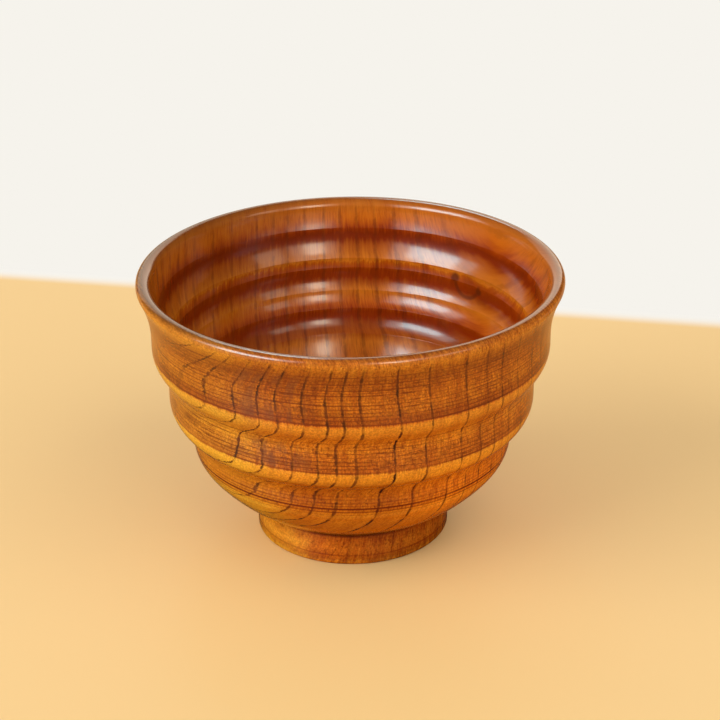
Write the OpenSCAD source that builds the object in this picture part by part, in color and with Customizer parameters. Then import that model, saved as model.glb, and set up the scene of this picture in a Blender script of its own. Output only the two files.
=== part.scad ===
// Lathe-turned wooden soup bowl: three outer bands, rippled inside, rolled lip and foot ring.
// The bowl stands on z = 0 with its turning axis on z.

/* [Rim] */
// Outer diameter of the rim
rim_d = 115; // [104:0.5:126]
// Thickness of the rolled lip
lip_t = 3.3; // [2.4:0.1:4.2]
// How far the lip stands out from the first band
lip_flare = 3.4; // [2:0.1:5]
// Radius of the hollow sweep under the lip
flare_r = 32; // [16:0.5:44]

/* [Outer bands] */
// Height from the first edge to the top of the lip
band1_h = 19.4; // [16:0.1:24]
// Height from the second edge to the first
band2_h = 15.4; // [12:0.1:20]
// Height from the haunch to the second edge
band3_h = 11.8; // [9:0.1:16]
// How far the second band is set in from the first
step1 = 4.1; // [2.5:0.1:6]
// How far the third band is set in from the second
step2 = 6; // [4:0.1:8]
// Rounding of the edge at the foot of a band
edge_r = 8; // [4:0.1:10]
// Radius of the hollow under an edge
cove_r = 6; // [4:0.1:10]

/* [Belly] */
// Height of the belly from the foot to the haunch
belly_h = 20.2; // [16:0.1:25]
// Rounding of the haunch, where the third band turns under
haunch_r = 12.5; // [6:0.5:15]
// Radius of the belly's sweep down to the foot
belly_r = 54; // [36:1:70]

/* [Foot] */
// Outer diameter of the foot ring
foot_d = 53.4; // [46:0.2:60]
// Height of the foot ring
foot_h = 9; // [6.5:0.1:12]
// Width of the foot ring's wall
foot_wall = 4.8; // [3:0.1:8]
// Depth of the hollow inside the foot ring
recess_h = 6; // [4:0.1:8]
// Rounding between the hollow's wall and its ceiling
recess_r = 2.4; // [1:0.1:3.5]
// Rounding of the foot ring's lower edges
foot_edge_r = 0.8; // [0.3:0.1:1.4]

/* [Inside] */
// Rounding of the lip's inner edge
lip_in_r = 2.5; // [1.8:0.1:3]
// Depth of the first ridge below the rim
ridge_drop = 8.1; // [6:0.1:11]
// Height from one ridge to the next
ripple_h = 11.2; // [9:0.1:13]
// Height from the first ridge to the swell below it
swell1_drop = 8.4; // [7:0.1:9]
// How far the first swell stands out from the line between its ridges
swell1_out = 0.3; // [0:0.1:0.6]
// Height from the second ridge to the swell below it
swell2_drop = 6.5; // [5:0.1:7.5]
// How far the second swell lies behind the line between its ridges
swell2_back = 0.8; // [0.3:0.1:1.2]
// Height of the last ripple, above the basin
last_ripple_h = 6.8; // [5:0.1:9]
// Wall behind the ridge under the lip
lip_ridge_wall = 2.3; // [1.8:0.1:4]
// Wall behind the ridges of the bands
ridge_wall = 5.6; // [4.5:0.1:8]
// Wall behind the last ridge
basin_wall = 2.8; // [2:0.1:6]
// Radius of the wall between the lip and the first ridge
lip_wall_r = 60; // [30:1:90]
// Radius of the hollow under the first ridge
hollow1_r = 18; // [12:0.5:30]
// Radius of the hollow under a swell or a lower ridge
hollow_r = 10; // [8:0.5:20]
// Thickness of the floor over the hollow of the foot
floor_t = 6.5; // [4.5:0.1:10]
// Diameter of the flat in the middle of the floor
floor_d = 7; // [4:0.5:20]

/* [Hidden] */
$fn = 180;
wood = "#b5651d";

rim_r = rim_d / 2;
lip_r = lip_t / 2;
foot_r = foot_d / 2;
band1_r = rim_r - lip_flare;
band2_r = band1_r - step1;
band3_r = band2_r - step2;

haunch_z = foot_h + belly_h;
edge2_z = haunch_z + band3_h;
edge1_z = edge2_z + band2_h;
rim_z = edge1_z + band1_h;
lip_z = rim_z - lip_r;
floor_z = recess_h + floor_t;

// Ridges of the inside as [radius, height], from the lip down to the basin
lip_foot = [rim_r - lip_r - lip_in_r, rim_z - lip_in_r];
ridge1 = [band1_r - lip_ridge_wall, rim_z - ridge_drop];
ridge2 = [band1_r - ridge_wall, ridge1.y - ripple_h];
ridge3 = [band2_r - ridge_wall, ridge2.y - ripple_h];
basin = [band3_r - basin_wall, ridge3.y - last_ripple_h];
swell1 = swell(ridge1, ridge2, swell1_drop, -swell1_out);
swell2 = swell(ridge2, ridge3, swell2_drop, swell2_back);
ripples = [ridge1, swell1, ridge2, swell2, ridge3, basin];

// Swell between the ridges p and q, drop below p and back behind the line between them
function swell(p, q, drop, back) = p + (q - p) * drop / ripple_h + [back, 0];

// Centre of the circle of radius r through p and q, on the left of the way from p to q
function chord_centre(p, q, r) =
    let (d = (q - p) / 2, half = norm(d))
    p + d + [-d.y, d.x] / half * sqrt(r * r - half * half);

// Point at distance a from p and b from q, on the left of the way from p to q
function meeting_point(p, q, a, b) =
    let (d = norm(q - p), u = (q - p) / d, along = (a * a - b * b + d * d) / (2 * d))
    p + u * along + [-u.y, u.x] * sqrt(a * a - along * along);

// Largest hollow, up to r, that an edge of radius e can have over a step s within a height h
function fitted_cove(r, e, s, h) = min(r, (h * h / s + s) / 2 - e);

// Height of an S-shaped step s between two upright walls, with radii e above and c below
function ogee_h(e, c, s) = sqrt(s * (2 * (e + c) - s));

// Half section of one band: an upright wall of radius r from z0 up, then an S-shaped step
// out to the rounded edge above, which stands step further out at height z1
module band(r, z0, z1, step, edge, cove) {
    c = fitted_cove(cove, edge, step, z1 - z0);
    turn_z = z1 - ogee_h(edge, c, step);
    edge_centre = [r + step - edge, z1];
    cove_centre = [r + c, turn_z];
    meet = edge_centre + (cove_centre - edge_centre) * edge / (edge + c);
    difference() {
        polygon([[0, z0], [r, z0], [r, turn_z], meet, edge_centre, [0, z1]]);
        translate(cove_centre) circle(c);
    }
    translate(edge_centre) circle(edge);
}

// Half section of the belly: a sweep from the foot that blends into the haunch
module belly() {
    haunch = [band3_r - haunch_r, haunch_z];
    centre = meeting_point([foot_r, foot_h], haunch, belly_r, belly_r - haunch_r);
    meet = centre + (haunch - centre) * belly_r / (belly_r - haunch_r);
    intersection() {
        polygon([[foot_r, foot_h], [band3_r, foot_h], meet, haunch, [0, haunch_z], [0, foot_h]]);
        translate(centre) circle(belly_r);
    }
    translate(haunch) circle(haunch_r);
}

// Half section of the lip's inner rounding
module lip_inside() {
    intersection() {
        translate([rim_r - lip_r, rim_z - lip_in_r]) circle(lip_in_r);
        square([rim_r - lip_r, rim_z]);
    }
}

// Half section of the whole blank before it is hollowed
module outside() {
    square([foot_r, haunch_z]);
    belly();
    band(band3_r, haunch_z, edge2_z, step2, edge_r, cove_r);
    band(band2_r, edge2_z, edge1_z, step1, edge_r, cove_r);
    band(band1_r, edge1_z, lip_z, lip_flare, lip_r, flare_r);
    lip_inside();
}

// Half section of one hollow of radius r, from the ridge p up to the ridge q
module hollow(p, q, r) {
    translate(chord_centre(p, q, r)) circle(r);
}

// Half section of the whole hollow: ripples between the ridges over a round basin
module inside() {
    basin_depth = basin.y - floor_z;
    basin_reach = basin.x - floor_d / 2;
    basin_r = (basin_reach * basin_reach + basin_depth * basin_depth) / (2 * basin_depth);
    difference() {
        polygon(concat([[0, rim_z], [rim_r - lip_r, rim_z], lip_foot], ripples, [[0, basin.y]]));
        lip_inside();
    }
    hollow(ridge1, lip_foot, lip_wall_r);
    hollow(swell1, ridge1, hollow1_r);
    for (i = [2 : len(ripples) - 1]) hollow(ripples[i], ripples[i - 1], hollow_r);
    intersection() {
        square([basin.x, basin.y]);
        union() {
            translate([floor_d / 2, floor_z + basin_r]) circle(basin_r);
            translate([0, floor_z]) square([floor_d / 2, basin_depth]);
        }
    }
}

// What a rounding of radius r takes off a square corner at the origin that points to -x, -y
module corner_waste(r) {
    difference() {
        square(r);
        translate([r, r]) circle(r);
    }
}

// Half section of the hollow inside the foot ring, with what rounds the ring's lower edges
module recess() {
    r = foot_r - foot_wall;
    difference() {
        square([r, recess_h]);
        translate([r, recess_h]) rotate(180) corner_waste(recess_r);
    }
    translate([r, 0]) corner_waste(foot_edge_r);
    translate([foot_r, 0]) mirror([1, 0]) corner_waste(foot_edge_r);
}

module bowl() {
    color(wood)
    rotate_extrude()
    difference() {
        outside();
        inside();
        recess();
    }
}

bowl();
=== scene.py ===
import math
from types import SimpleNamespace

import bpy
import numpy as np
from mathutils import Matrix, Vector


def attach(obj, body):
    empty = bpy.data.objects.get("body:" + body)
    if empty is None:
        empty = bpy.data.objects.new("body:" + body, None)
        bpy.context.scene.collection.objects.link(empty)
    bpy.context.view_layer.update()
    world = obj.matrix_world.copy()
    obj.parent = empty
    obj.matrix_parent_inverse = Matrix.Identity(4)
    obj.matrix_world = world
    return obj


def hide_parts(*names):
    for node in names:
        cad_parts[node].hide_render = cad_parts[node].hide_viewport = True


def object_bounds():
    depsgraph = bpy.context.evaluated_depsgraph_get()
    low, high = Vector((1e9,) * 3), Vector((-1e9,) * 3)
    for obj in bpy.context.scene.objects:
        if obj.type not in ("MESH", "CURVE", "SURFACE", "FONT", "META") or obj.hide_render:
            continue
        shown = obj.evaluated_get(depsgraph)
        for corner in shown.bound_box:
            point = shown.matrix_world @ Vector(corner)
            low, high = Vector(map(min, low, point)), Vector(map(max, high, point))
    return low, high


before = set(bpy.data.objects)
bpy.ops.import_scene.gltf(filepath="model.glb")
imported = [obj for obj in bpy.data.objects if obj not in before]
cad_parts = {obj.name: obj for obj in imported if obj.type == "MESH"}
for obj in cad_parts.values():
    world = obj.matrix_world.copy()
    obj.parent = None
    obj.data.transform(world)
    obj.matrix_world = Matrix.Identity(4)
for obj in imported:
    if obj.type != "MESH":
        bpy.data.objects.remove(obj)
cadLow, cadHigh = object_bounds()
mm = 0.001
print("frame: bowl is", [round(v / mm, 1) for v in cadHigh - cadLow], "mm")


# Shape of the bowl

bowlShape = {              # millimetres, the turned section from foot to lip
    "lipThick": 3.3,       # rolled lip
    "lipFlare": 3.4,       # lip stands out from the first band
    "flareRound": 32.0,    # hollow sweep under the lip
    "band1High": 19.4,     # first edge to the top of the lip
    "band2High": 15.4,
    "band3High": 11.8,
    "step1": 4.1,
    "step2": 6.0,
    "edgeRound": 8.0,      # rounding of a band's lower edge
    "coveRound": 6.0,      # hollow under an edge
    "haunchRound": 12.5,
    "bellyRound": 54.0,
    "footWide": 53.4,
    "footHigh": 9.0,
    "footWall": 4.8,
    "recessHigh": 6.0,     # hollow under the foot
    "recessRound": 2.4,
    "footEdge": 0.8,
    "lipInner": 2.5,       # rounding of the lip's inner edge
    "ridgeDrop": 8.1,      # first inner ridge below the rim
    "rippleHigh": 11.2,
    "lastRipple": 6.8,
    "swell1Drop": 8.4,     # from the first ridge down to the swell below it
    "swell1Out": 0.3,      # first swell stands out from the line between its ridges
    "swell2Drop": 6.5,
    "swell2Back": 0.8,     # second swell lies behind the line between its ridges
    "lipRidgeWall": 2.3,   # wood behind the inner ridges
    "ridgeWall": 5.6,
    "basinWall": 2.8,
    "lipWallRound": 60.0,  # hollow between the lip and the first ridge
    "hollow1Round": 18.0,  # hollow under the first ridge
    "hollowRound": 10.0,   # hollow under a swell or a lower ridge
    "floorThick": 6.5,
    "floorFlat": 7.0,
    "cornerSoft": 0.04,    # lacquer softens the inner ridges by this much
    "cornerShare": 0.8,    # but by no more than this share of the mesh step beside one
    "cornerPoints": 5,
    "columns": 320,        # mesh columns around
    "grainStep": 1.05,     # largest mesh step along the section
    "grainTurn": 0.14,     # largest mesh step round an arc, in radians
}


def arcPoints(centre, radius, fromAngle, toAngle):
    # points on a circle: centre + radius * (cos, sin), spread evenly over the angle in degrees
    turn = abs(math.radians(toAngle - fromAngle))
    byLength = int(turn * radius / bowlShape["grainStep"]) + 2
    byTurn = int(turn / bowlShape["grainTurn"]) + 1
    angle = np.radians(np.linspace(fromAngle, toAngle, max(3, byLength, byTurn)))
    return np.stack([centre[0] + radius * np.cos(angle), centre[1] + radius * np.sin(angle)], 1)


def linePoints(start, end):
    # points on a straight stretch: start + t * (end - start)
    start, end = np.array(start, float), np.array(end, float)
    count = max(2, int(np.linalg.norm(end - start) / bowlShape["grainStep"]) + 1)
    return start + np.linspace(0, 1, count)[:, None] * (end - start)


def bearing(centre, point):
    return math.degrees(math.atan2(point[1] - centre[1], point[0] - centre[0]))


def stepPoints(radius, top, step, edge, cove, bottom):
    # S-shaped step from an upright wall to the edge above it: two arcs that touch in one point
    cove = min(cove, ((top - bottom) ** 2 / step + step) / 2 - edge)
    turn = top - math.sqrt(step * (2 * (edge + cove) - step))
    edgeAt, coveAt = np.array([radius + step - edge, top]), np.array([radius + cove, turn])
    touch = edgeAt + (coveAt - edgeAt) * edge / (edge + cove)
    return [
        linePoints((radius, bottom), (radius, turn)),
        arcPoints(coveAt, cove, 180, bearing(coveAt, touch) % 360),
        arcPoints(edgeAt, edge, bearing(edgeAt, touch), 0),
    ]


def softCorner(before, after, s):
    # a small curve in place of the corner where two stretches meet: quadratic Bezier between its sides
    corner = before[-1]
    sides = []
    for beside in (before[-2], after[1]):
        room = np.linalg.norm(beside - corner)
        sides.append(corner + (beside - corner) / room * min(s["cornerSoft"], room * s["cornerShare"]))
    start, end = sides
    t = np.linspace(0, 1, s["cornerPoints"])[:, None]
    curve = (1 - t) ** 2 * start + 2 * t * (1 - t) * corner + t ** 2 * end
    # one more point on each side keeps the shading of the stretches flat up to the corner
    return np.concatenate([[start * 3 - corner * 2], curve, [end * 3 - corner * 2]])


def sectionLevels(s):
    # radii, heights and inner ridges that the stretches of the section share
    k = SimpleNamespace(rim=cadHigh.x / mm, top=cadHigh.z / mm)
    k.lip = s["lipThick"] / 2
    k.foot = s["footWide"] / 2
    k.recess = k.foot - s["footWall"]
    k.band1 = k.rim - s["lipFlare"]
    k.band2 = k.band1 - s["step1"]
    k.band3 = k.band2 - s["step2"]
    k.edge1 = k.top - s["band1High"]
    k.edge2 = k.edge1 - s["band2High"]
    k.haunch = k.edge2 - s["band3High"]
    k.floorTop = s["recessHigh"] + s["floorThick"]
    k.lipFoot = np.array([k.rim - k.lip - s["lipInner"], k.top - s["lipInner"]])
    k.ridge1 = np.array([k.band1 - s["lipRidgeWall"], k.top - s["ridgeDrop"]])
    k.ridge2 = np.array([k.band1 - s["ridgeWall"], k.ridge1[1] - s["rippleHigh"]])
    k.ridge3 = np.array([k.band2 - s["ridgeWall"], k.ridge2[1] - s["rippleHigh"]])
    k.ridge4 = np.array([k.band3 - s["basinWall"], k.ridge3[1] - s["lastRipple"]])
    down1 = (k.ridge2 - k.ridge1) * s["swell1Drop"] / s["rippleHigh"]
    down2 = (k.ridge3 - k.ridge2) * s["swell2Drop"] / s["rippleHigh"]
    k.swell1 = k.ridge1 + down1 - np.array([s["swell1Out"], 0])
    k.swell2 = k.ridge2 + down2 + np.array([s["swell2Back"], 0])
    return k


def underPoints(s, k):
    # from the axis under the foot, round its hollow and its ring, up to the belly
    soft, high, corner = s["footEdge"], s["recessHigh"], s["recessRound"]
    return [
        linePoints((0, high), (k.recess - corner, high)),
        arcPoints((k.recess - corner, high - corner), corner, 90, 0),
        linePoints((k.recess, high - corner), (k.recess, soft)),
        arcPoints((k.recess + soft, soft), soft, 180, 270),
        linePoints((k.recess + soft, 0), (k.foot - soft, 0)),
        arcPoints((k.foot - soft, soft), soft, -90, 0),
        linePoints((k.foot, soft), (k.foot, s["footHigh"])),
    ]


def outsidePoints(s, k):
    # belly: a circle through the top of the foot that touches the haunch's circle from outside
    junction = np.array([k.foot, s["footHigh"]])
    haunch = np.array([k.band3 - s["haunchRound"], k.haunch])
    gap = np.linalg.norm(haunch - junction)
    along = (haunch - junction) / gap
    far, near = s["bellyRound"], s["bellyRound"] - s["haunchRound"]
    share = (far ** 2 - near ** 2 + gap ** 2) / (2 * gap)
    belly = junction + along * share + np.array([-along[1], along[0]]) * math.sqrt(far ** 2 - share ** 2)
    touch = belly + (haunch - belly) * far / near
    edge, cove = s["edgeRound"], s["coveRound"]
    return [
        arcPoints(belly, far, bearing(belly, junction), bearing(belly, touch)),
        arcPoints(haunch, s["haunchRound"], bearing(haunch, touch), 0),
        *stepPoints(k.band3, k.edge2, s["step2"], edge, cove, k.haunch),
        *stepPoints(k.band2, k.edge1, s["step1"], edge, cove, k.edge2),
        *stepPoints(k.band1, k.top - k.lip, s["lipFlare"], k.lip, s["flareRound"], k.edge1),
        arcPoints((k.rim - k.lip, k.top - k.lip), k.lip, 0, 90),
        arcPoints((k.rim - k.lip, k.top - s["lipInner"]), s["lipInner"], 90, 180),
    ]


def insidePoints(s, k):
    # hollows between the ridges and the swells halfway, then the round basin and its flat
    ridges = [k.lipFoot, k.ridge1, k.swell1, k.ridge2, k.swell2, k.ridge3, k.ridge4]
    rounds = [s["lipWallRound"], s["hollow1Round"]] + [s["hollowRound"]] * 4
    inside = []
    for upper, lower, radius in zip(ridges, ridges[1:], rounds):
        half = (upper - lower) / 2
        reach = np.linalg.norm(half)
        rise = math.sqrt(radius ** 2 - reach ** 2)
        centre = lower + half + np.array([-half[1], half[0]]) / reach * rise
        inside.append(arcPoints(centre, radius, bearing(centre, upper), bearing(centre, lower)))
    flat = s["floorFlat"] / 2
    wide, deep = k.ridge4[0] - flat, k.ridge4[1] - k.floorTop
    basinRound = (wide ** 2 + deep ** 2) / (2 * deep)
    basin = (flat, k.floorTop + basinRound)
    inside.append(arcPoints(basin, basinRound, bearing(basin, k.ridge4), -90))
    inside.append(linePoints((flat, k.floorTop), (0, k.floorTop)))
    return inside


def bowlSection(s):
    # the whole section as one open line: under the foot, up the outside, over the lip, down the inside
    k = sectionLevels(s)
    under, outside = underPoints(s, k), outsidePoints(s, k)
    stretches = under + outside + insidePoints(s, k)
    # the corner at the foot and the inner ridges are softened
    softAt = [len(under) - 1] + list(range(len(under) + len(outside), len(stretches) - 2))
    line = [stretches[0]]
    for i, stretch in enumerate(stretches[1:]):
        if i in softAt:
            curve = softCorner(line[-1], stretch, s)
            line[-1] = line[-1][:-1]
            line.append(curve)
        line.append(stretch[1:])
    marks = {
        "floor": (k.foot, s["footEdge"]), "junction": (k.foot, s["footHigh"]),
        "haunch": (k.band3, k.haunch), "edge2": (k.band2, k.edge2), "edge1": (k.band1, k.edge1),
        "lip": (k.rim - k.lip, k.top),
        "ridge1": k.ridge1, "swell1": k.swell1, "ridge2": k.ridge2, "swell2": k.swell2,
        "ridge3": k.ridge3, "ridge4": k.ridge4, "basin": (0, k.floorTop),
    }
    return np.concatenate(line), marks


def sectionLength(section):
    return np.concatenate([[0], np.cumsum(np.linalg.norm(np.diff(section, axis=0), axis=1))])


def turnedFaces(rows, columns):
    # point numbers of the quads between the rows, then of the fans round the two poles
    i, j = np.meshgrid(np.arange(rows - 1), np.arange(columns), indexing="ij")
    right = (j + 1) % columns
    upper, lower = i * columns, (i + 1) * columns
    quads = np.stack([upper + j, upper + right, lower + right, lower + j], -1).reshape(-1, 4)
    col = np.arange(columns)
    colNext = (col + 1) % columns
    last, pole = (rows - 1) * columns, rows * columns
    lowFan = np.stack([np.full(columns, pole), colNext, col], 1)
    highFan = np.stack([last + col, last + colNext, np.full(columns, pole + 1)], 1)
    return quads, lowFan, highFan


def turnedUv(length, columns):
    # u runs round the bowl and v along the section; the seam's own corners get u = 1
    i, j = np.meshgrid(np.arange(1, len(length) - 2), np.arange(columns), indexing="ij")
    u = np.stack([j, j + 1, j + 1, j], -1).reshape(-1)
    v = length[np.stack([i, i, i + 1, i + 1], -1).reshape(-1)]
    col = np.arange(columns)
    lowU = np.stack([col + 0.5, col + 1, col], 1).ravel()
    highU = np.stack([col, col + 1, col + 0.5], 1).ravel()
    lowV, highV = np.tile(length[[0, 1, 1]], columns), np.tile(length[[-2, -2, -1]], columns)
    uv = np.stack([np.concatenate([u, lowU, highU]), np.concatenate([v, lowV, highV])], -1)
    return uv / (columns, length[-1])


def turnedMesh(name, section, columns):
    # surface of revolution: (r cos a, r sin a, z) for each section point and column angle, and two poles
    ring = section[1:-1]
    rows = len(ring)
    angle = np.arange(columns) * (2 * math.pi / columns)
    grid = np.empty((rows, columns, 3))
    grid[..., :2] = ring[:, None, :1] * np.stack([np.cos(angle), np.sin(angle)], 1)[None]
    grid[..., 2] = ring[:, None, 1]
    poles = [[0, 0, section[0, 1]], [0, 0, section[-1, 1]]]
    points = np.concatenate([grid.reshape(-1, 3), poles]) * mm
    length = sectionLength(section)
    stations = np.concatenate([np.repeat(length[1:-1], columns), [0, length[-1]]])
    quads, lowFan, highFan = turnedFaces(rows, columns)
    corners = np.concatenate([quads.ravel(), lowFan.ravel(), highFan.ravel()]).astype(np.int32)
    sizes = np.concatenate([np.full(len(quads), 4), np.full(2 * columns, 3)]).astype(np.int32)
    starts = np.concatenate([[0], np.cumsum(sizes)[:-1]]).astype(np.int32)

    mesh = bpy.data.meshes.new(name)
    mesh.vertices.add(len(points))
    mesh.vertices.foreach_set("co", points.astype(np.float32).ravel())
    mesh.loops.add(len(corners))
    mesh.loops.foreach_set("vertex_index", corners)
    mesh.polygons.add(len(sizes))
    mesh.polygons.foreach_set("loop_start", starts)
    mesh.polygons.foreach_set("loop_total", sizes)
    mesh.polygons.foreach_set("use_smooth", np.ones(len(sizes), bool))
    uv = turnedUv(length, columns)
    mesh.uv_layers.new(name="turned").data.foreach_set("uv", uv.astype(np.float32).ravel())
    station = mesh.attributes.new("station", "FLOAT", "POINT")
    station.data.foreach_set("value", stations.astype(np.float32))
    mesh.update(calc_edges=True)
    mesh.validate()
    piece = bpy.data.objects.new(name, mesh)
    bpy.context.scene.collection.objects.link(piece)
    return piece


section, marks = bowlSection(bowlShape)
bowl = turnedMesh("soupBowl", section, bowlShape["columns"])
stationLength = sectionLength(section)
stationOf = {name: float(stationLength[np.argmin(np.linalg.norm(section - np.array(at), axis=1))])
             for name, at in marks.items()}
print("bowl:", len(section), "section points,", len(bowl.data.polygons), "faces")


# Node helpers

def srgb(red, green, blue):
    # a screen colour as the linear values that a shader takes
    v = np.array([red, green, blue]) / 255
    v = np.where(v <= 0.04045, v / 12.92, ((v + 0.055) / 1.055) ** 2.4)
    return (float(v[0]), float(v[1]), float(v[2]), 1.0)


def addNode(tree, kind, **settings):
    node = tree.nodes.new("ShaderNode" + kind)
    for key, value in settings.items():
        setattr(node, key, value)
    return node


def feed(tree, socket, value):
    # a socket takes another node's output, or a plain value
    if isinstance(value, bpy.types.NodeSocket):
        tree.links.new(value, socket)
    else:
        socket.default_value = value


def feedAll(tree, node, values):
    for socket, value in zip(node.inputs, values):
        feed(tree, socket, value)
    return node.outputs[0]


def calc(tree, operation, *values):
    return feedAll(tree, addNode(tree, "Math", operation=operation), values)


def times(tree, product, *others):
    for other in others:
        product = calc(tree, "MULTIPLY", product, other)
    return product


def largest(tree, value, *others):
    for other in others:
        value = calc(tree, "MAXIMUM", value, other)
    return value


def apart(tree, a, b):
    return calc(tree, "ABSOLUTE", calc(tree, "SUBTRACT", a, b))


def softStep(tree, value, low, high, start=0.0, end=1.0):
    # smooth change from start to end while value goes from low to high
    node = addNode(tree, "MapRange", interpolation_type="SMOOTHSTEP")
    return feedAll(tree, node, (value, low, high, start, end))


def evenStep(tree, value, low, high):
    # straight change from 0 to 1 while value goes from low to high
    return feedAll(tree, addNode(tree, "MapRange"), (value, low, high, 0.0, 1.0))


def vector(tree, x, y, z):
    return feedAll(tree, addNode(tree, "CombineXYZ"), (x, y, z))


def parts(tree, place):
    split = addNode(tree, "SeparateXYZ")
    feed(tree, split.inputs[0], place)
    return split.outputs


def distance(tree, place):
    node = addNode(tree, "VectorMath", operation="LENGTH")
    feed(tree, node.inputs[0], place)
    return node.outputs["Value"]


def noise(tree, place, size, detail=2.0, rough=0.5):
    # smooth noise from 0 to 1 on a place in millimetres, with lumps about as large as size
    node = addNode(tree, "TexNoise")
    feed(tree, node.inputs["Vector"], place)
    node.inputs["Scale"].default_value = 1 / size
    node.inputs["Detail"].default_value = detail
    node.inputs["Roughness"].default_value = rough
    return node.outputs["Fac"]


def tint(tree, factor, under, over, blend="MIX"):
    node = addNode(tree, "Mix", data_type="RGBA", blend_type=blend)
    feed(tree, node.inputs[0], factor)
    feed(tree, node.inputs[6], under)
    feed(tree, node.inputs[7], over)
    return node.outputs[2]


def dim(tree, colour, share):
    return tint(tree, 1.0, colour, vector(tree, share, share, share), "MULTIPLY")


def bentLine(tree, value, reach, at, heights):
    # a bent line through the points (at, heights) for values from -reach to reach, straight in between
    node = addNode(tree, "FloatCurve")
    feed(tree, node.inputs["Value"], evenStep(tree, value, -reach, reach))
    points = node.mapping.curves[0].points
    spots = [((a + reach) / (2 * reach), float(h)) for a, h in zip(at, heights)]
    points[0].location, points[1].location = spots[0], spots[-1]
    for spot in spots[1:-1]:
        points.new(*spot)
    for point in points:
        point.handle_type = "VECTOR"
    node.mapping.update()
    return node.outputs[0]


def colourRamp(tree, station, stops):
    # stain along the section: each stop is a mark, millimetres on from it, and a screen colour
    places = [stationOf[mark] + on for mark, on, colour in stops]
    low, high = places[0], places[-1]
    node = addNode(tree, "ValToRGB")
    feed(tree, node.inputs[0], evenStep(tree, station, low, high))
    elements = node.color_ramp.elements
    elements[0].position, elements[1].position = 0.0, 1.0
    elements[0].color, elements[1].color = srgb(*stops[0][2]), srgb(*stops[-1][2])
    for place, (mark, on, colour) in list(zip(places, stops))[1:-1]:
        elements.new((place - low) / (high - low)).color = srgb(*colour)
    return node.outputs[0]


# Places on the bowl: w holds those that the stages of the wood share
# In the wood's dictionaries a fade is (from, to, value before, value after), 0 and 1 where left out;
# a strip is a fade along the section with its mark in front; a noise is (lump in mm, detail, roughness)

def woodPlaces(tree):
    w = SimpleNamespace(tree=tree)
    scale = addNode(tree, "VectorMath", operation="SCALE")
    feed(tree, scale.inputs[0], addNode(tree, "TexCoord").outputs["Object"])
    scale.inputs["Scale"].default_value = 1 / mm
    w.place = scale.outputs[0]
    w.x, w.y, w.z = parts(tree, w.place)
    w.station = addNode(tree, "Attribute", attribute_name="station").outputs["Fac"]
    # degrees round the bowl: 0 in front, more to the right
    w.turn = times(tree, calc(tree, "ARCTAN2", w.x, times(tree, w.y, -1.0)), 180 / math.pi)
    return w


def onStrip(w, mark, low, high, start=0.0, end=1.0):
    return softStep(w.tree, w.station, stationOf[mark] + low, stationOf[mark] + high, start, end)


def onTurn(w, *fades):
    return times(w.tree, *(softStep(w.tree, w.turn, *fade) for fade in fades))


def offMark(w, mark, on=0.0):
    return apart(w.tree, w.station, stationOf[mark] + on)


def outOrIn(w, outside, inside):
    # one value on the outside of the bowl and another on the inside
    return calc(w.tree, "MULTIPLY_ADD", w.onInner, calc(w.tree, "SUBTRACT", inside, outside), outside)


def alongFibre(w, across, along, up):
    # fibres lie in the ring sheets, so their noise is fine across a sheet and long within it
    tree = w.tree
    return vector(tree, times(tree, w.sheet, across), times(tree, w.along, along), times(tree, w.z, up))


def roundBowl(w, share):
    # tool marks run round the bowl, so their noise is long around it
    return vector(w.tree, times(w.tree, w.x, share), times(w.tree, w.y, share), w.station)


# Growth rings

ringFigure = {             # millimetres
    "facing": -51.6,       # degrees, the way across the growth rings
    "middle": 45.0,        # height where the rings are described
    "lean": 0.061,         # how the rings lean, bow, twist and spread over the blank
    "bow": 0.00197,
    "twist": -0.00276,
    "arch": -0.0015,
    "skew": -0.000024,
    "fan": -0.00137,
    "bend": 1.4,           # rings bend to the right below the lip, between these heights and turns
    "bendHigh": (62.0, 75.0),
    "bendLeft": (-148.97, -108.86),
    "bendRight": (-5.73, 17.19, 1.0, 0.0),
    "lines": [             # those that cross the front bands, read off the photograph
        -18, -11.5, -5.5, -0.5, 5.5, 15, 22.5, 30.5, 34, 37, 41, 45, 47.5, 50.5, 53.5, 55, 57.5,
    ],
    "hiddenGaps": (5.0, 3.5),   # even gaps between the other lines, below and above those
    "reach": 80.0,
    "widest": 10.0,        # gaps between lines stay below this
    "sway": 0.9,
    "swayNoise": (16.0, 2.0),
    "jitter": 0.55,
    "jitterNoise": (1.0, 2.0, 0.7),
}


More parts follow.
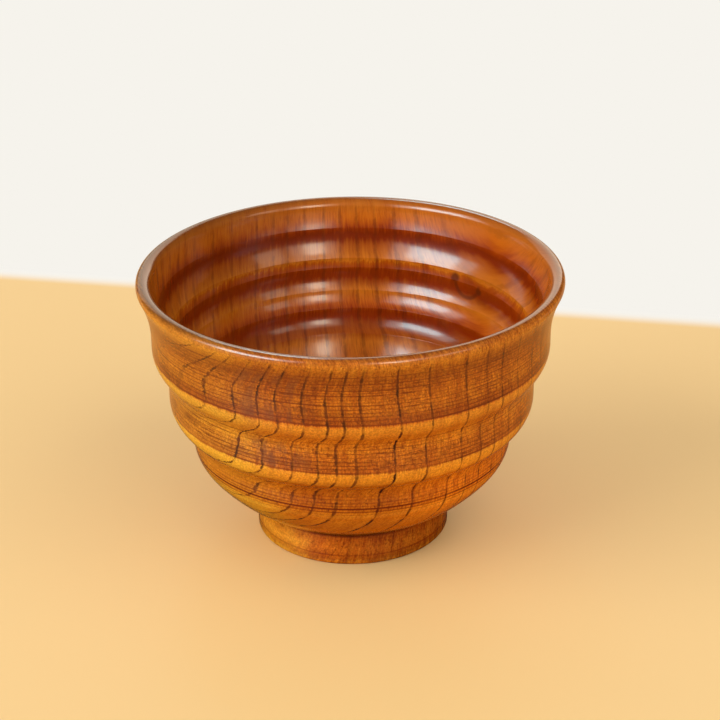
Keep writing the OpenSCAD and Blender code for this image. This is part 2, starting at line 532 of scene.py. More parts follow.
def growthRings(w, f):
    # each ring is a curved sheet through the blank: across + the seven terms below, in millimetres
    tree = w.tree
    sin, cos = math.sin(math.radians(f["facing"])), math.cos(math.radians(f["facing"]))
    w.across = calc(tree, "SUBTRACT", times(tree, w.x, sin), times(tree, w.y, cos))
    w.along = calc(tree, "ADD", times(tree, w.x, cos), times(tree, w.y, sin))
    rise = calc(tree, "SUBTRACT", w.z, f["middle"])
    square = times(tree, w.along, w.along)
    bent = times(tree, onTurn(w, f["bendLeft"], f["bendRight"]), softStep(tree, w.z, *f["bendHigh"]))
    sheet = w.across
    for term, share in (
        (rise, f["lean"]),
        (square, f["bow"]),
        (times(tree, w.along, rise), f["twist"]),
        (times(tree, rise, rise), f["arch"]),
        (times(tree, square, w.along), f["skew"]),
        (times(tree, w.across, w.along), f["fan"]),
        (bent, f["bend"]),
    ):
        sheet = calc(tree, "MULTIPLY_ADD", term, share, sheet)
    w.sheet = sheet

    lined = sheet
    for kind in ("sway", "jitter"):
        wander = calc(tree, "SUBTRACT", noise(tree, w.place, *f[kind + "Noise"]), 0.5)
        lined = calc(tree, "MULTIPLY_ADD", wander, f[kind], lined)
    first, last, reach = f["lines"][0], f["lines"][-1], f["reach"]
    gapBelow, gapAbove = f["hiddenGaps"]
    below = np.arange(first - gapBelow, -reach, -gapBelow)
    above = np.arange(last + gapAbove, reach, gapAbove)
    ends = np.concatenate([[-reach], below[::-1], f["lines"], above, [reach]])
    gaps = np.diff(ends)
    count = len(gaps)
    ring = bentLine(tree, lined, reach, ends, np.arange(count + 1) / count)
    ring = times(tree, ring, float(count))
    gap = bentLine(tree, lined, reach, ends[:-1] + gaps / 2, gaps / f["widest"])
    gap = times(tree, gap, f["widest"])
    # share of the way past the last line, number of the nearest one, and millimetres off it
    w.past = calc(tree, "FRACT", ring)
    w.ringNumber = calc(tree, "ROUND", ring)
    w.offRing = times(tree, apart(tree, ring, w.ringNumber), gap)
    # how much the surface faces along the rings, from 0 to 1
    slant = times(tree, calc(tree, "SUBTRACT", w.turn, f["facing"]), math.pi / 180)
    w.slant = calc(tree, "ABSOLUTE", calc(tree, "SINE", slant))


# Stain, with painted light and shade along the section

stainLook = {
    "streak": (3.0, 0.2, 0.26),    # shares across a ring sheet, along it and up, for the fibres' noise
    "streakNoise": (1.0, 2.0, 0.6),
    "bleed": 1.4,                  # mm that an edge of the stain wanders along the fibres
    "drip": (0.9, 0.08, 0.08),
    "dripNoise": (1.0, 2.0, 0.6),
    "dripLong": 4.5,               # mm more that it wanders inside
    "dripFrom": ("lip", 3.0, 6.0),
}
toneUpper = [             # from the second edge up to the lip: mark, mm on from it, screen colour; the light step just below the first edge is partly painted light
    ("edge2", -0.4, (178, 88, 22)), ("edge2", 0.4, (166, 80, 20)), ("edge2", 1.6, (172, 86, 20)),
    ("edge2", 5.5, (190, 104, 24)), ("edge1", -11.0, (186, 98, 22)), ("edge1", -7.5, (190, 104, 26)),
    ("edge1", -5.5, (186, 100, 24)), ("edge1", -2.6, (198, 117, 34)), ("edge1", -1.0, (202, 122, 38)),
    ("edge1", -0.5, (190, 96, 24)), ("edge1", -0.2, (140, 58, 12)), ("edge1", 0.3, (150, 68, 16)),
    ("edge1", 1.6, (146, 66, 12)), ("edge1", 2.8, (170, 88, 20)), ("edge1", 6.0, (176, 92, 22)),
    ("edge1", 9.0, (166, 83, 18)), ("edge1", 13.0, (143, 69, 12)), ("edge1", 15.5, (164, 88, 21)),
    ("lip", -3.5, (190, 111, 35)), ("lip", -1.5, (176, 96, 34)), ("lip", 0.0, (122, 66, 32)),
]
toneLower = [             # from the foot's lower edge up to the second edge; the light strips below the haunch and the second edge are partly painted light, the dark corner above the foot partly painted shade
    ("floor", -0.8, (176, 96, 24)), ("floor", 0.3, (176, 96, 22)), ("floor", 0.9, (160, 78, 14)),
    ("floor", 2.0, (172, 84, 16)), ("floor", 4.0, (188, 98, 24)), ("floor", 6.5, (168, 80, 15)),
    ("junction", -0.5, (160, 74, 14)), ("junction", 0.0, (150, 68, 14)), ("junction", 1.5, (170, 80, 18)),
    ("junction", 5.0, (180, 88, 18)), ("junction", 10.0, (188, 100, 24)),
    ("haunch", -8.0, (194, 108, 25)), ("haunch", -6.6, (190, 102, 22)),
    ("haunch", -5.2, (198, 115, 32)), ("haunch", -4.2, (196, 110, 26)),
    ("haunch", -3.0, (180, 91, 16)), ("haunch", 0.0, (180, 90, 15)), ("haunch", 4.0, (182, 95, 18)),
    ("edge2", -8.5, (176, 92, 20)), ("edge2", -6.2, (176, 92, 17)), ("edge2", -5.4, (178, 96, 19)),
    ("edge2", -4.6, (200, 118, 32)), ("edge2", -3.0, (208, 126, 36)), ("edge2", -1.0, (211, 129, 38)),
    ("edge2", -0.4, (178, 88, 22)),
]
toneInside = [            # from the lip down to the middle of the floor; the dark strips below the ridges are partly stain and partly painted shade
    ("lip", 0.0, (124, 68, 32)), ("lip", 1.6, (160, 84, 28)), ("lip", 3.0, (190, 102, 30)),
    ("lip", 5.5, (196, 100, 20)), ("ridge1", -3.0, (194, 97, 15)), ("ridge1", -1.2, (176, 77, 8)),
    ("ridge1", 0.0, (150, 54, 3)), ("ridge1", 1.6, (124, 38, 1)), ("ridge1", 3.2, (130, 40, 1)),
    ("ridge1", 5.0, (168, 78, 12)), ("swell1", -1.0, (192, 102, 22)), ("swell1", 0.8, (206, 114, 26)),
    ("ridge2", -2.0, (190, 94, 12)), ("ridge2", -0.8, (172, 72, 5)), ("ridge2", 0.4, (152, 56, 2)),
    ("ridge2", 1.6, (144, 49, 2)), ("ridge2", 3.0, (142, 47, 1)), ("ridge2", 5.0, (176, 84, 14)),
    ("swell2", 0.0, (206, 113, 26)), ("ridge3", -2.0, (194, 92, 12)), ("ridge3", -0.6, (174, 72, 5)),
    ("ridge3", 0.8, (146, 50, 1)), ("ridge3", 2.5, (144, 46, 1)), ("ridge3", 4.5, (160, 70, 10)),
    ("ridge4", 0.0, (172, 80, 10)), ("ridge4", 2.0, (208, 116, 26)), ("ridge4", 10.0, (198, 102, 20)),
    ("basin", 0.0, (180, 88, 16)),
]


def toneAlong(w, s):
    # stain along the section, with painted light on the steps and painted shade under the ridges, and
    # edges that bleed along the fibres
    tree = w.tree
    w.streak = noise(tree, alongFibre(w, *s["streak"]), *s["streakNoise"])
    bleed = times(tree, calc(tree, "SUBTRACT", w.streak, 0.5), s["bleed"])
    drip = calc(tree, "SUBTRACT", noise(tree, alongFibre(w, *s["drip"]), *s["dripNoise"]), 0.5)
    drip = times(tree, drip, s["dripLong"], onStrip(w, *s["dripFrom"]))
    stained = calc(tree, "ADD", calc(tree, "ADD", w.station, bleed), drip)
    mark, on, _ = toneUpper[0]
    onUpper = calc(tree, "GREATER_THAN", stained, stationOf[mark] + on)
    w.onInner = calc(tree, "GREATER_THAN", stained, stationOf["lip"])
    w.onOuter = calc(tree, "SUBTRACT", 1.0, w.onInner)
    lower, upper, inner = (colourRamp(tree, stained, t) for t in (toneLower, toneUpper, toneInside))
    return tint(tree, w.onInner, tint(tree, onUpper, lower, upper), inner)


# Fibres and pores

fibreLook = {
    "pore": (112, 44, 6),          # screen colour
    "quiet": [                     # mark and mm on from it, to mark and mm: where the fibres hardly show
        ("edge1", -7.0, "edge1", -0.4), ("edge2", -7.0, "edge2", -0.6), ("haunch", -8.0, "haunch", -3.0),
        ("junction", 0.0, "haunch", -6.0),
    ],
    "quietEnds": (2.0, 0.4),       # mm over which such a strip begins and ends
    "broad": (0.5, 0.05, 0.06),
    "broadNoise": (1.0, 3.0, 0.6),
    "broadShade": (0.3, 0.7, 0.86, 1.14),
    "streakShade": (0.3, 0.7, 0.14, -0.16),
    "shadeInside": 0.45,           # how much shows inside, where rings run along, and on quiet strips
    "shadeAlong": (0.1, 0.5, 0.35, 1.0),
    "shadeQuiet": (0.0, 1.0, 1.0, 0.5),
    "shadePowers": (1.7, 1.9),     # green and blue change more than red
    "fine": (2.4, 0.5, 0.75),
    "fineNoise": (1.0, 2.0, 0.6),
    "poreFrom": (0.53, 0.68),
    "poreInside": 0.4,
    "poreAlong": (0.1, 0.5, 0.3, 1.0),
    "poreQuiet": (0.0, 1.0, 1.0, 0.2),
    "poreCrowd": (0.0, 1.0, 0.75, 0.45),   # more pores just past a ring line
}


def fibres(w, f, colour):
    # tone varies with the fibres, less inside, on quiet strips and where the rings run along the surface
    tree = w.tree
    begin, end = f["quietEnds"]
    quiet = largest(tree, *(
        times(tree, onStrip(w, mark, low, low + begin), onStrip(w, upTo, high - end, high, 1.0, 0.0))
        for mark, low, upTo, high in f["quiet"]))
    broad = noise(tree, alongFibre(w, *f["broad"]), *f["broadNoise"])
    shade = softStep(tree, broad, *f["broadShade"])
    shade = calc(tree, "ADD", shade, softStep(tree, w.streak, *f["streakShade"]))
    swing = times(tree, outOrIn(w, 1.0, f["shadeInside"]), softStep(tree, w.slant, *f["shadeAlong"]),
                  softStep(tree, quiet, *f["shadeQuiet"]))
    shade = calc(tree, "MULTIPLY_ADD", calc(tree, "SUBTRACT", shade, 1.0), swing, 1.0)
    shade = vector(tree, shade, *(calc(tree, "POWER", shade, power) for power in f["shadePowers"]))
    colour = tint(tree, 1.0, colour, shade, "MULTIPLY")

    fine = outOrIn(w, noise(tree, alongFibre(w, *f["fine"]), *f["fineNoise"]), w.streak)
    w.pores = times(tree, softStep(tree, fine, *f["poreFrom"]), softStep(tree, w.slant, *f["poreAlong"]),
                    outOrIn(w, 1.0, f["poreInside"]), softStep(tree, w.past, *f["poreCrowd"]),
                    softStep(tree, quiet, *f["poreQuiet"]))
    return tint(tree, w.pores, colour, srgb(*f["pore"]))


# Tool marks, specks and smudges

toolLook = {
    "mark": (104, 36, 4),          # screen colours
    "smudge": (104, 54, 40),
    "bands": [                     # the first two bands, marked most at their feet
        [("edge1", -0.3, 0.5), ("edge1", 10.0, 15.5, 1.0, 0.25)],
        [("edge2", -0.3, 0.5), ("edge2", 5.0, 8.5, 1.0, 0.25), ("edge1", -0.5, 0.0, 1.0, 0.0)],
    ],
    "fineRound": 0.13,             # shares of the way round, for noise that is long around the bowl
    "fineNoise": (0.5, 2.0, 0.6),
    "fineFrom": (0.52, 0.68),
    "wideRound": 0.035,
    "wideNoise": (1.2, 1.0),
    "wideFrom": (0.5, 0.75),
    "patchNoise": (14.0, 2.0),
    "patch": (0.35, 0.65, 0.25, 1.0),
    "markStrong": 0.85,
    "speckNoise": (0.5, 1.0),
    "speck": (0.3, 0.7, -0.28, 0.25),
    "speckOnBand": (0.0, 1.0, 0.7, 1.0),
    "smudgeTurn": -22.0,
    "smudgeWide": (5.0, 14.0, 1.0, 0.0),
    "smearNoise": (0.6, 2.0),
    "smear": (0.42, 0.62),
    "smudgeStrong": 0.55,
    "faintNoise": (3.0, 2.0),
    "faint": (0.35, 0.65, 0.55, 1.3),
    "lineCore": 0.3,               # share of a line's half width that is fully dark
    "lines": [                     # mark, then for each line: mm on from it, half width, strength
        ("edge1", [(14.3, 0.3, 0.7), (13.1, 0.2, 0.4), (12.0, 0.24, 0.55), (11.1, 0.18, 0.35),
                   (10.0, 0.24, 0.6), (9.2, 0.18, 0.4), (8.4, 0.26, 0.65), (7.3, 0.2, 0.45),
                   (6.4, 0.18, 0.4), (5.5, 0.26, 0.6), (4.4, 0.2, 0.5), (3.4, 0.22, 0.5),
                   (2.4, 0.25, 0.55), (1.3, 0.25, 0.6), (0.0, 0.4, 0.85)]),
        ("edge2", [(8.7, 0.26, 0.6), (7.5, 0.18, 0.35), (6.4, 0.26, 0.6), (5.2, 0.2, 0.4),
                   (4.1, 0.2, 0.45), (3.0, 0.24, 0.5), (1.9, 0.24, 0.55), (0.9, 0.24, 0.55),
                   (-0.3, 0.4, 0.65)]),
        ("haunch", [(1.6, 0.2, 0.35), (0.6, 0.2, 0.45), (-0.5, 0.3, 0.6), (-1.4, 0.2, 0.5),
                    (-2.3, 0.4, 0.85), (-3.4, 0.25, 0.6), (-4.4, 0.2, 0.4)]),
        ("floor", [(2.1, 0.35, 0.7)]),
        # the wide line where the foot meets the belly is partly tool mark and partly painted shade in
        # that corner
        ("junction", [(0.0, 0.7, 0.95)]),
    ],
}


def toolMarks(w, t, colour):
    # short tool marks, specks and grey-brown smudges, most of them low on the first two bands
    tree = w.tree
    first, second = (times(tree, *(onStrip(w, *strip) for strip in band)) for band in t["bands"])
    bands = calc(tree, "ADD", times(tree, first, w.onOuter), second)
    fine = noise(tree, roundBowl(w, t["fineRound"]), *t["fineNoise"])
    wide = noise(tree, roundBowl(w, t["wideRound"]), *t["wideNoise"])
    either = largest(tree, softStep(tree, fine, *t["fineFrom"]), softStep(tree, wide, *t["wideFrom"]))
    patch = softStep(tree, noise(tree, w.place, *t["patchNoise"]), *t["patch"])
    w.turned = times(tree, either, bands, patch)
    colour = tint(tree, times(tree, w.turned, t["markStrong"]), colour, srgb(*t["mark"]))

    speck = softStep(tree, noise(tree, w.place, *t["speckNoise"]), *t["speck"])
    speck = times(tree, speck, w.onOuter, softStep(tree, bands, *t["speckOnBand"]))
    colour = dim(tree, colour, calc(tree, "ADD", speck, 1.0))

    smear = softStep(tree, noise(tree, alongFibre(w, *fibreLook["broad"]), *t["smearNoise"]), *t["smear"])
    here = softStep(tree, apart(tree, w.turn, t["smudgeTurn"]), *t["smudgeWide"])
    return tint(tree, times(tree, here, smear, bands, t["smudgeStrong"]), colour, srgb(*t["smudge"]))


def toolLines(w, t, colour):
    # thin dark lines that the tool left all the way round; the one above the foot also paints shade in
    # that corner
    tree = w.tree
    cut = largest(tree, *(
        softStep(tree, offMark(w, mark, on), half * t["lineCore"], half, strength, 0.0)
        for mark, lines in t["lines"] for on, half, strength in lines))
    faint = softStep(tree, noise(tree, roundBowl(w, t["fineRound"]), *t["faintNoise"]), *t["faint"])
    return tint(tree, calc(tree, "MINIMUM", times(tree, cut, faint), 1.0), colour, srgb(*t["mark"]))


# Painted light and shade, a darker lip on the left and less blue

rightToBack = (90.0, 150.0, 1.0, 0.0)     # turns that even the two sides out behind the bowl
backToLeft = (-160.0, -90.0)
shadeAndLightLook = {
    "under": (18, 6, 0),                  # screen colour of the painted shadow just above the foot, at the front
    "shadowTurns": [(-42.0, -14.0, 0.05, 1.0), (12.0, 38.0, 1.0, 0.5), (90.0, 150.0, 1.0, 0.1)],
    "shadowFrom": ("junction", -0.4, 0.2),
    "shadowTo": ("junction", 5.4, 11.4, 1.0, 0.0),
    "shadowStrong": 0.9,
    "footTop": ("junction", -0.3, 0.0, 1.0, 0.0),
    "footShade": (-19.0, 19.0, -0.2, 0.3),      # these three from left to right in mm
    "insideShade": (-42.0, 2.0, 0.4, 0.05),
    "lipDarkLeft": (-52.0, -20.0, 0.4, 0.0),
    "lipWide": (0.5, 2.5, 1.0, 0.0),
    "paintedLight": [(-36.0, -18.0), (5.0, 40.0, -0.14, 0.3), rightToBack],
    "paintedLightFrom": ("junction", 3.0, 9.0),
    "paintedLightTo": ("edge2", -6.0, -1.0, 1.0, 0.0),
    "leftGoldAndLight": [(-42.0, -16.0, 1.0, 0.0), backToLeft],
    "leftGoldAndLightFrom": ("floor", -1.5, 0.0),
    "leftGoldAndLightBelly": ("haunch", -6.0, -3.0, 1.5, 1.0),
    "leftGoldAndLightBand": ("edge1", -0.5, 0.0, 1.0, 0.5),
    "leftGoldAndLightShares": (0.05, 0.5, 0.6),     # more red, green and blue
    "blue": (0.6, 0.7),                   # share of the stain's blue that is kept, outside and inside
}


def paintShadeAndLight(w, u, colour):
    tree = w.tree
    # painted shadow: the belly is darkest just above the foot, at the front
    low = times(tree, onStrip(w, *u["shadowFrom"]), onStrip(w, *u["shadowTo"]))
    w.tucked = times(tree, onTurn(w, *u["shadowTurns"]), low)
    colour = tint(tree, times(tree, w.tucked, u["shadowStrong"]), colour, srgb(*u["under"]))

    # painted shade on the right of the foot and on the left of the inside, painted light on the left of
    # the foot; the lip is darker on its left
    foot = times(tree, onStrip(w, *u["footTop"]), softStep(tree, w.x, *u["footShade"]))
    inside = times(tree, w.onInner, softStep(tree, w.x, *u["insideShade"]))
    lip = softStep(tree, offMark(w, "lip"), *u["lipWide"])
    lip = times(tree, lip, softStep(tree, w.x, *u["lipDarkLeft"]))
    keep = calc(tree, "SUBTRACT", 1.0, calc(tree, "ADD", foot, largest(tree, inside, lip)))

    # painted light on the right of the belly and the third band
    paintedLight = times(tree, onStrip(w, *u["paintedLightFrom"]), onStrip(w, *u["paintedLightTo"]))
    paintedLight = times(tree, onTurn(w, *u["paintedLight"]), paintedLight)
    colour = dim(tree, colour, calc(tree, "ADD", keep, paintedLight))

    # painted light, with some of the wood's own tone: the outside is paler and yellower on the left, most
    # of all on the belly
    leftGoldAndLight = times(tree, w.onOuter, onTurn(w, *u["leftGoldAndLight"]), onStrip(w, *u["leftGoldAndLightFrom"]),
                   onStrip(w, *u["leftGoldAndLightBelly"]), onStrip(w, *u["leftGoldAndLightBand"]))
    bases = (1.0, 1.0, outOrIn(w, *u["blue"]))
    leftGoldTint = vector(tree, *(
        calc(tree, "MULTIPLY_ADD", leftGoldAndLight, share, base) for share, base in zip(u["leftGoldAndLightShares"], bases)))
    return tint(tree, 1.0, colour, leftGoldTint, "MULTIPLY")


# Ring lines

lineLook = {
    "line": (88, 34, 7),           # screen colours
    "lineDark": (52, 15, 3),
    "half": 0.36,                  # half width in mm, and the share of it that is fully dark
    "core": 0.3,
    "halfShare": (1.25, 0.42, 1.7),       # by slant, at least, and inside
    "strokeNoise": (2.6, 2.0),
    "worn": (0.35, 0.55, 0.5, 1.0),
    "swollen": (0.35, 0.65, 0.8, 1.3),
    "ringStrong": (0.0, 1.0, 0.8, 1.0),   # rings differ
    "turns": [(-58.0, -47.0, 0.4, 1.0), (15.0, 40.0, 1.0, 0.65), (*backToLeft, 1.625, 1.0)],
    "insideFlat": (0.8, 0.98, 0.46, 0.24),
    "onFoot": ("junction", -0.5, 0.5, 0.4, 1.0),
    "onLip": (2.0, 6.0, 0.15, 1.0),
    "inkNoise": (3.4, 1.0),
    "inked": (0.45, 0.6),
}


def ringLines(w, r, colour):
    # the dark line of every ring, like a pen stroke that wears thin and swells
    tree = w.tree
    depth = addNode(tree, "TexWhiteNoise", noise_dimensions="1D")
    feed(tree, depth.inputs["W"], w.ringNumber)
    stroke = noise(tree, w.place, *r["strokeNoise"])
    radius = largest(tree, distance(tree, vector(tree, w.x, w.y, 0.0)), 1.0)
    flat = calc(tree, "DIVIDE", calc(tree, "ABSOLUTE", w.across), radius)
    strong = times(tree, softStep(tree, depth.outputs["Value"], *r["ringStrong"]),
                   softStep(tree, stroke, *r["worn"]),
                   outOrIn(w, onTurn(w, *r["turns"]), softStep(tree, flat, *r["insideFlat"])),
                   onStrip(w, *r["onFoot"]),
                   softStep(tree, offMark(w, "lip"), *r["onLip"]))
    bySlant, least, inside = r["halfShare"]
    half = largest(tree, calc(tree, "MINIMUM", times(tree, w.slant, bySlant), 1.0), least)
    half = times(tree, outOrIn(w, half, inside), softStep(tree, stroke, *r["swollen"]))
    off = calc(tree, "DIVIDE", w.offRing, half)
    line = softStep(tree, off, r["half"] * r["core"], r["half"], 1.0, 0.0)
    inked = times(tree, w.onOuter, softStep(tree, noise(tree, w.place, *r["inkNoise"]), *r["inked"]))
    ink = tint(tree, inked, srgb(*r["line"]), srgb(*r["lineDark"]))
    return tint(tree, times(tree, line, strong), colour, ink)


# Knot

knotLook = {               # a small knot on the inside, on the right: the lower half of a dark ring
    "turn": 44.0,          # degrees to the right, seen from the middle towards the far wall
    "mark": "ridge2",
    "up": 0.3,             # mm above that ridge
    "round": 4.4,
    "wide": (0.2, 0.9, 0.6, 0.0),
    "lowerHalf": (-0.6, 0.6),
    "spots": [(-4.6, -0.6, 1.9), (4.3, 1.6, 1.5)],   # to the right, below and half width of its dark ends
    "spotCore": 0.4,
    "spotStrong": 0.8,
}


def knotInside(w, k, colour):
    tree = w.tree
    far = times(tree, calc(tree, "ARCTAN2", w.x, w.y), 180 / math.pi)
    toRight = times(tree, calc(tree, "SUBTRACT", far, k["turn"]), marks[k["mark"]][0] * math.pi / 180)
    below = calc(tree, "SUBTRACT", w.station, stationOf[k["mark"]] - k["up"])
    out = distance(tree, vector(tree, toRight, below, 0.0))
    dark = [times(tree, softStep(tree, apart(tree, out, k["round"]), *k["wide"]),
                  softStep(tree, below, *k["lowerHalf"]))]
    for right, down, half in k["spots"]:
        offRight, offDown = calc(tree, "SUBTRACT", toRight, right), calc(tree, "SUBTRACT", below, down)
        gone = distance(tree, vector(tree, offRight, offDown, 0.0))
        dark.append(softStep(tree, gone, half * k["spotCore"], half, k["spotStrong"], 0.0))
    return tint(tree, times(tree, largest(tree, *dark), w.onInner), colour, srgb(*lineLook["line"]))


# Lacquered wood

lacquerLook = {
    "woodRough": 0.34,
    "poreRough": 0.2,      # more in the pores
    "coatRough": 0.16,
    "coatIor": 1.5,
    "coatUnderShadow": -0.6,    # thinner where the shadow is painted, just above the foot at the front
    "bump": 0.25,
    "bumpDeep": 0.05,      # mm
}


def lacqueredWood(c):
    material = bpy.data.materials.new("lacqueredWood")
    material.use_nodes = True
    tree = material.node_tree
    w = woodPlaces(tree)
    growthRings(w, ringFigure)
    colour = toneAlong(w, stainLook)
    for stage, look in (
        (fibres, fibreLook),
        (toolMarks, toolLook),
        (paintShadeAndLight, shadeAndLightLook),
        (toolLines, toolLook),
        (ringLines, lineLook),
        (knotInside, knotLook),
    ):
        colour = stage(w, look, colour)

    sockets = tree.nodes["Principled BSDF"].inputs
    feed(tree, sockets["Base Color"], colour)
    feed(tree, sockets["Roughness"], calc(tree, "MULTIPLY_ADD", w.pores, c["poreRough"], c["woodRough"]))
    sockets["Specular IOR Level"].default_value = 0.0
    feed(tree, sockets["Coat Weight"], calc(tree, "MULTIPLY_ADD", w.tucked, c["coatUnderShadow"], 1.0))
    sockets["Coat Roughness"].default_value = c["coatRough"]
    sockets["Coat IOR"].default_value = c["coatIor"]
    bump = addNode(tree, "Bump")
    bump.inputs["Strength"].default_value = c["bump"]
    bump.inputs["Distance"].default_value = c["bumpDeep"] * mm
    height = calc(tree, "SUBTRACT", 1.0, calc(tree, "ADD", w.pores, w.turned))
    feed(tree, bump.inputs["Height"], height)
    feed(tree, sockets["Normal"], bump.outputs[0])
    return material


bowl.data.materials.append(lacqueredWood(lacquerLook))
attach(bowl, "root")
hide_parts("bowl")
print("wood: lacquered and ringed")


# Camera

cameraPlace = {            # as the photograph was taken
    "away": 547.7,         # mm from the aim point
    "aimHigh": 49.1,       # mm above the table, on the bowl's axis
    "lookDown": 25.15,     # degrees
    "swing": 0.25,         # degrees to the right
    "roll": -0.64,         # degrees
    "lens": 100.0,
    "sensor": 36.0,
    "clipStart": 0.01,
}


def rotated(a, b, angle):
    # two directions, each turned towards the other's place by the angle
    return a * math.cos(angle) - b * math.sin(angle), b * math.cos(angle) + a * math.sin(angle)


def makeCamera(c):
    down, swing, roll = (math.radians(c[k]) for k in ("lookDown", "swing", "roll"))
    right = Vector((1, 0, 0))
    ahead = Vector((0, math.cos(down), -math.sin(down)))
    up = right.cross(ahead)
    spot = Vector((0, 0, c["aimHigh"] * mm)) - ahead * c["away"] * mm
    right, ahead = rotated(right, ahead, swing)
    up, right = rotated(up, right, roll)
    data = bpy.data.cameras.new("camera")
    data.lens = c["lens"]
    data.sensor_width = c["sensor"]
    data.clip_start = c["clipStart"]
    camera = bpy.data.objects.new("camera", data)
    camera.matrix_world = Matrix((
        (right.x, up.x, -ahead.x, spot.x),
        (right.y, up.y, -ahead.y, spot.y),
        (right.z, up.z, -ahead.z, spot.z),
        (0, 0, 0, 1),
    ))
    bpy.context.scene.collection.objects.link(camera)
    bpy.context.scene.camera = camera


makeCamera(cameraPlace)
print("camera set")


# Floor and light

stageLook = {                         # lengths in metres, colours as on a screen
    "floor": (236, 198, 134),
    "floorBounce": (252, 222, 162),   # as the bowl is lit by it
    "nearMirrored": (66, 36, 12),     # what the lacquer mirrors of the floor: dark by the foot as a painted shadow, and further out
    "floorMirrored": (212, 152, 68),
    "nearTo": (0.05, 0.11),
    "floorReach": 4.0,
    "floorRough": 0.6,
    "floorShine": 0.2,
    "back": (246, 243, 236),          # far behind
    "backMirrored": (205, 170, 120),
    "backFrom": 0.1565,               # how far behind the bowl the floor turns pale
    "backSoft": 0.006,
    "backSlope": -0.2,
    "room": (1.0, 0.97, 0.93),
    "roomLevel": 0.62,
    "roomMirrored": 0.015,            # what the lacquer mirrors of the room
    "wallAway": 1.2,                  # a pale wall behind, which the lip mirrors
    "wallSides": (-1.1, 0.6),
    "wallHeights": (0.22, 1.1),
    "wall": (252, 236, 212),
    "wallLevel": (-0.8, 0.8, 1.2, 2.8),   # how bright, from left to right
    "keys": [                         # where the soft lamps stand, their power and size
        (-3.0, -1.35, 1.65, 102.0, 3.0),
        (2.25, -2.1, 2.4, 82.0, 4.5),
    ],
    "paneAway": 3.0,
    "tints": {"sky": (0.6, 0.92, 1.0), "lamp": (1.0, 0.98, 0.78)},
    "panes": [                        # degrees to the right, wide, above the table from and to; radiance
        (-57, 58, 13, 44, 3.2, "sky"),
        (-57, 46, 13, 40, 7.0, "sky"),
        (-56, 34, 14, 36, 9.5, "sky"),
        (-56, 22, 16, 32, 9.0, "sky"),
        (24, 30, 13, 42, 2.0, "lamp"),
        (24, 20, 13, 38, 5.0, "lamp"),
        (23, 12, 14, 34, 7.5, "lamp"),
        (54, 18, 13, 36, 2.0, "lamp"),
        (54, 10, 14, 32, 2.4, "lamp"),
        (-168, 14, 38, 62, 11.0, "sky"),
    ],
}


def makeRoom(s):
    world = bpy.data.worlds.new("room")
    bpy.context.scene.world = world
    world.use_nodes = True
    tree = world.node_tree
    air = tree.nodes["Background"]
    air.inputs["Color"].default_value = (*s["room"], 1)
    mirrored = addNode(tree, "LightPath").outputs["Is Glossy Ray"]
    level = calc(tree, "MULTIPLY_ADD", mirrored, s["roomMirrored"] - s["roomLevel"], s["roomLevel"])
    feed(tree, air.inputs["Strength"], level)


def floorFinish(s):
    # pale floor, paler behind a line, with its own tones for the lacquer's mirror and for its bounce
    material = bpy.data.materials.new("paleFloor")
    material.use_nodes = True
    tree = material.node_tree
    place = addNode(tree, "TexCoord").outputs["Object"]
    x, y, _ = parts(tree, place)
    behind = calc(tree, "SUBTRACT", y, times(tree, x, s["backSlope"]))
    pale = softStep(tree, behind, s["backFrom"] - s["backSoft"], s["backFrom"] + s["backSoft"])
    path = addNode(tree, "LightPath")
    seen, glossy = path.outputs["Is Camera Ray"], path.outputs["Is Glossy Ray"]
    tone = {name: srgb(*s[name]) for name in (
        "floor", "floorBounce", "nearMirrored", "floorMirrored", "back", "backMirrored")}
    out = softStep(tree, distance(tree, place), *s["nearTo"])
    mirrored = tint(tree, out, tone["nearMirrored"], tone["floorMirrored"])
    near = tint(tree, glossy, tint(tree, seen, tone["floorBounce"], tone["floor"]), mirrored)
    far = tint(tree, glossy, tone["back"], tone["backMirrored"])
    shader = tree.nodes["Principled BSDF"]
    feed(tree, shader.inputs["Base Color"], tint(tree, pale, near, far))
    shader.inputs["Roughness"].default_value = s["floorRough"]
    shader.inputs["Specular IOR Level"].default_value = s["floorShine"]
    glow = addNode(tree, "Emission")
    glow.inputs["Color"].default_value = tone["back"]
    mix = addNode(tree, "MixShader")
    mixed = feedAll(tree, mix, (times(tree, pale, seen), shader.outputs[0], glow.outputs[0]))
    feed(tree, tree.nodes["Material Output"].inputs["Surface"], mixed)
    return material


def wallPaint(s):
    material = bpy.data.materials.new("paleWall")
    material.use_nodes = True
    tree = material.node_tree
    glow = addNode(tree, "Emission")
    glow.inputs["Color"].default_value = srgb(*s["wall"])
    x = parts(tree, addNode(tree, "TexCoord").outputs["Object"])[0]
    feed(tree, glow.inputs["Strength"], softStep(tree, x, *s["wallLevel"]))
    feed(tree, tree.nodes["Material Output"].inputs["Surface"], glow.outputs[0])
    return material


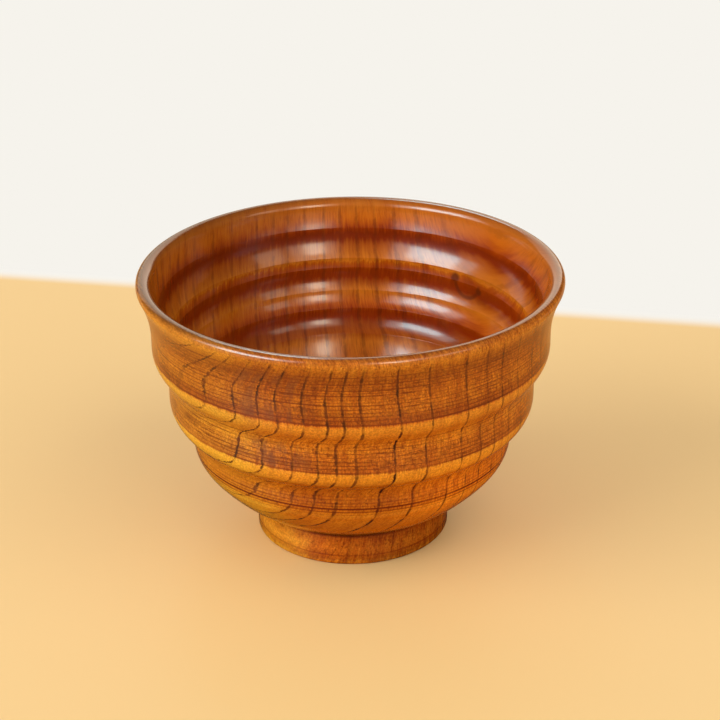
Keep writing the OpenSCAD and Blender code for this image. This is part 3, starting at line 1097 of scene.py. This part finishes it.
def makePlane(name, corners, material):
    mesh = bpy.data.meshes.new(name)
    mesh.from_pydata(corners, [], [(0, 1, 2, 3)])
    mesh.materials.append(material)
    plane = bpy.data.objects.new(name, mesh)
    bpy.context.scene.collection.objects.link(plane)
    return plane


def softLamp(name, x, y, z, power, size):
    # a lamp aimed at the bowl, which the lacquer doesn't mirror
    data = bpy.data.lights.new(name, "AREA")
    data.energy = power
    data.size = size
    lamp = bpy.data.objects.new(name, data)
    lamp.location = (x, y, z)
    lamp.rotation_euler = Vector((-x, -y, -z)).to_track_quat("-Z", "Y").to_euler()
    lamp.visible_camera = False
    lamp.visible_glossy = False
    bpy.context.scene.collection.objects.link(lamp)


def windowPane(s, name, turn, wide, low, high, radiance, light):
    # an upright pane that fills these angles as seen from the bowl, and that only the lacquer mirrors
    away = s["paneAway"]
    turn = math.radians(turn)
    width = 2 * away * math.tan(math.radians(wide / 2))
    bottom, top = away * math.tan(math.radians(low)), away * math.tan(math.radians(high))
    data = bpy.data.lights.new(name, "AREA")
    data.shape = "RECTANGLE"
    data.size, data.size_y = width, top - bottom
    data.energy = radiance * math.pi * width * (top - bottom)
    data.color = s["tints"][light]
    pane = bpy.data.objects.new(name, data)
    pane.location = (away * math.sin(turn), -away * math.cos(turn), (bottom + top) / 2)
    pane.rotation_euler = (math.pi / 2, 0, turn)
    pane.visible_camera = False
    pane.visible_diffuse = False
    bpy.context.scene.collection.objects.link(pane)


def makeStage(s):
    makeRoom(s)
    reach = s["floorReach"]
    corners = [(-reach, -reach, 0), (reach, -reach, 0), (reach, reach, 0), (-reach, reach, 0)]
    makePlane("floor", corners, floorFinish(s))
    (left, right), (low, high), away = s["wallSides"], s["wallHeights"], s["wallAway"]
    corners = [(left, away, low), (right, away, low), (right, away, high), (left, away, high)]
    wall = makePlane("wall", corners, wallPaint(s))
    wall.visible_diffuse = False
    wall.visible_camera = False
    for number, key in enumerate(s["keys"]):
        softLamp("key%d" % number, *key)
    for number, pane in enumerate(s["panes"]):
        windowPane(s, "pane%d" % number, *pane)
    bpy.context.scene.view_settings.view_transform = "Standard"


makeStage(stageLook)
print("floor and light set")
